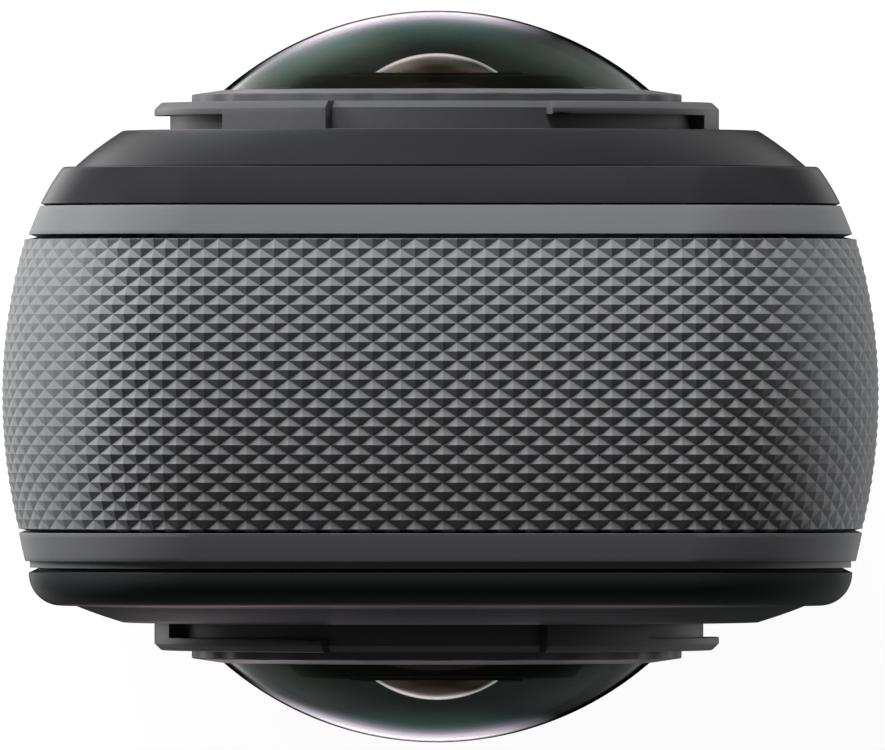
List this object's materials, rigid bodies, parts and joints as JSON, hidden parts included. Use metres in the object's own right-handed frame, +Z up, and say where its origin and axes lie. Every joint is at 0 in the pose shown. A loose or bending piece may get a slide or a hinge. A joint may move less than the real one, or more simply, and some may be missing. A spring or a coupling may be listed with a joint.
{
  "type": "360 degree camera",
  "caption": "Slim upright 360 degree camera with a dome lens on each broad face, a knurled grip band, a touch screen, press buttons, a port door and a slide-out battery.",
  "frame": {"origin": "middle of the footprint box on the standing face, on the plane midway between the two dome tips", "axes": "+Z up towards the knurled top end, +Y along the lens axis out of the rear lens, -Y out of the screen side, -X towards the battery side"},
  "size_m": [0.046, 0.0386, 0.1245],
  "materials": {
    "grip": "fine knurled, satin",
    "rim": "smooth satin grey",
    "cover": "fine grained charcoal",
    "front_panel": "satin black",
    "frame_metal": "die cast, dark",
    "ring_metal": "dark anodised",
    "dome_glass": "polished, coated",
    "coated_glass": "polished, gold coated",
    "inner_glass": "polished",
    "black_rubber": "matt",
    "orange_rubber": "matt",
    "flat_black": "flat black",
    "sensor": "glass faced package",
    "board": "solder mask",
    "bare_aluminium": "bare",
    "pad": "soft",
    "steel": "plated",
    "screen_glass": "polished black",
    "panel": "display module",
    "button": "satin",
    "battery_wrap": "matt",
    "latch": "satin",
    "gold": "gold plated",
    "card": "matt",
    "mesh": "woven",
    "mic_can": "plated",
    "light_pipe": "frosted clear"
  },
  "bodies": {
    "camera": {"grip_band": "grip", "front_rim": "rim", "rear_rim": "rim", "rear_cover": "cover", "base_cap": "cover", "front_cover": "front_panel", "chassis": "frame_metal", "front_lens_mount": "ring_metal", "rear_lens_mount": "ring_metal", "front_retainer": "ring_metal", "rear_retainer": "ring_metal", "front_dome": "dome_glass", "rear_dome": "dome_glass", "front_second_lens": "coated_glass", "rear_second_lens": "coated_glass", "front_relay_lens": "inner_glass", "rear_relay_lens": "inner_glass", "front_gasket": "black_rubber", "front_dome_seal": "black_rubber", "rear_dome_seal": "black_rubber", "front_baffle": "flat_black", "rear_baffle": "flat_black", "front_barrel": "flat_black", "rear_barrel": "flat_black", "front_sensor": "sensor", "rear_sensor": "sensor", "front_sensor_board": "board", "rear_sensor_board": "board", "button_board": "board", "side_board": "board", "main_board": "board", "heat_spreader": "bare_aluminium", "thermal_pads": "pad", "lens_screws": "steel", "usb_hinge_pin": "steel", "usb_port": "steel", "board_screws": "steel", "card_slot": "steel", "tripod_socket": "steel", "screen_glass": "screen_glass", "display_panel": "panel", "battery_contacts": "gold", "memory_card": "card", "speaker": "card", "speaker_mesh": "mesh", "microphones": "mic_can", "front_light": "light_pipe", "rear_light": "light_pipe"},
    "shutter": {"shutter_button": "button"},
    "mode": {"mode_button": "button"},
    "power": {"power_button": "button"},
    "quick": {"quick_button": "button"},
    "battery": {"battery_face": "grip", "battery_case": "battery_wrap", "battery_seal": "orange_rubber"},
    "latch_high": {"upper_latch": "latch"},
    "latch_low": {"lower_latch": "latch"},
    "port_door": {"usb_door": "grip", "usb_door_seal": "orange_rubber"}
  },
  "joints": [
    {"name": "shutter_press", "type": "slide", "parent": "camera", "child": "shutter", "axis": [0, 1, 0], "range_m": [0, 0.0004], "stiffness_N_per_m": 2000},
    {"name": "mode_press", "type": "slide", "parent": "camera", "child": "mode", "axis": [0, 1, 0], "range_m": [0, 0.0004], "stiffness_N_per_m": 2000},
    {"name": "power_press", "type": "slide", "parent": "camera", "child": "power", "axis": [-1, 0, 0], "range_m": [0, 0.0004], "stiffness_N_per_m": 2000},
    {"name": "quick_press", "type": "slide", "parent": "camera", "child": "quick", "axis": [-1, 0, 0], "range_m": [0, 0.0004], "stiffness_N_per_m": 2000},
    {"name": "port_door_swing", "type": "hinge", "parent": "camera", "child": "port_door", "pos_m": [0.0214, -0.001, 0.0163], "axis": [0, 1, 0], "range_deg": [0, 95]},
    {"name": "battery_slide", "type": "slide", "parent": "camera", "child": "battery", "axis": [-1, 0, 0], "range_m": [0, 0.028]},
    {"name": "upper_latch_slide", "type": "slide", "parent": "battery", "child": "latch_high", "axis": [0, 0, -1], "range_m": [0, 0.002], "stiffness_N_per_m": 200, "springref_m": -0.001},
    {"name": "lower_latch_slide", "type": "slide", "parent": "battery", "child": "latch_low", "axis": [0, 0, 1], "range_m": [0, 0.002], "stiffness_N_per_m": 200, "springref_m": -0.001}
  ]
}
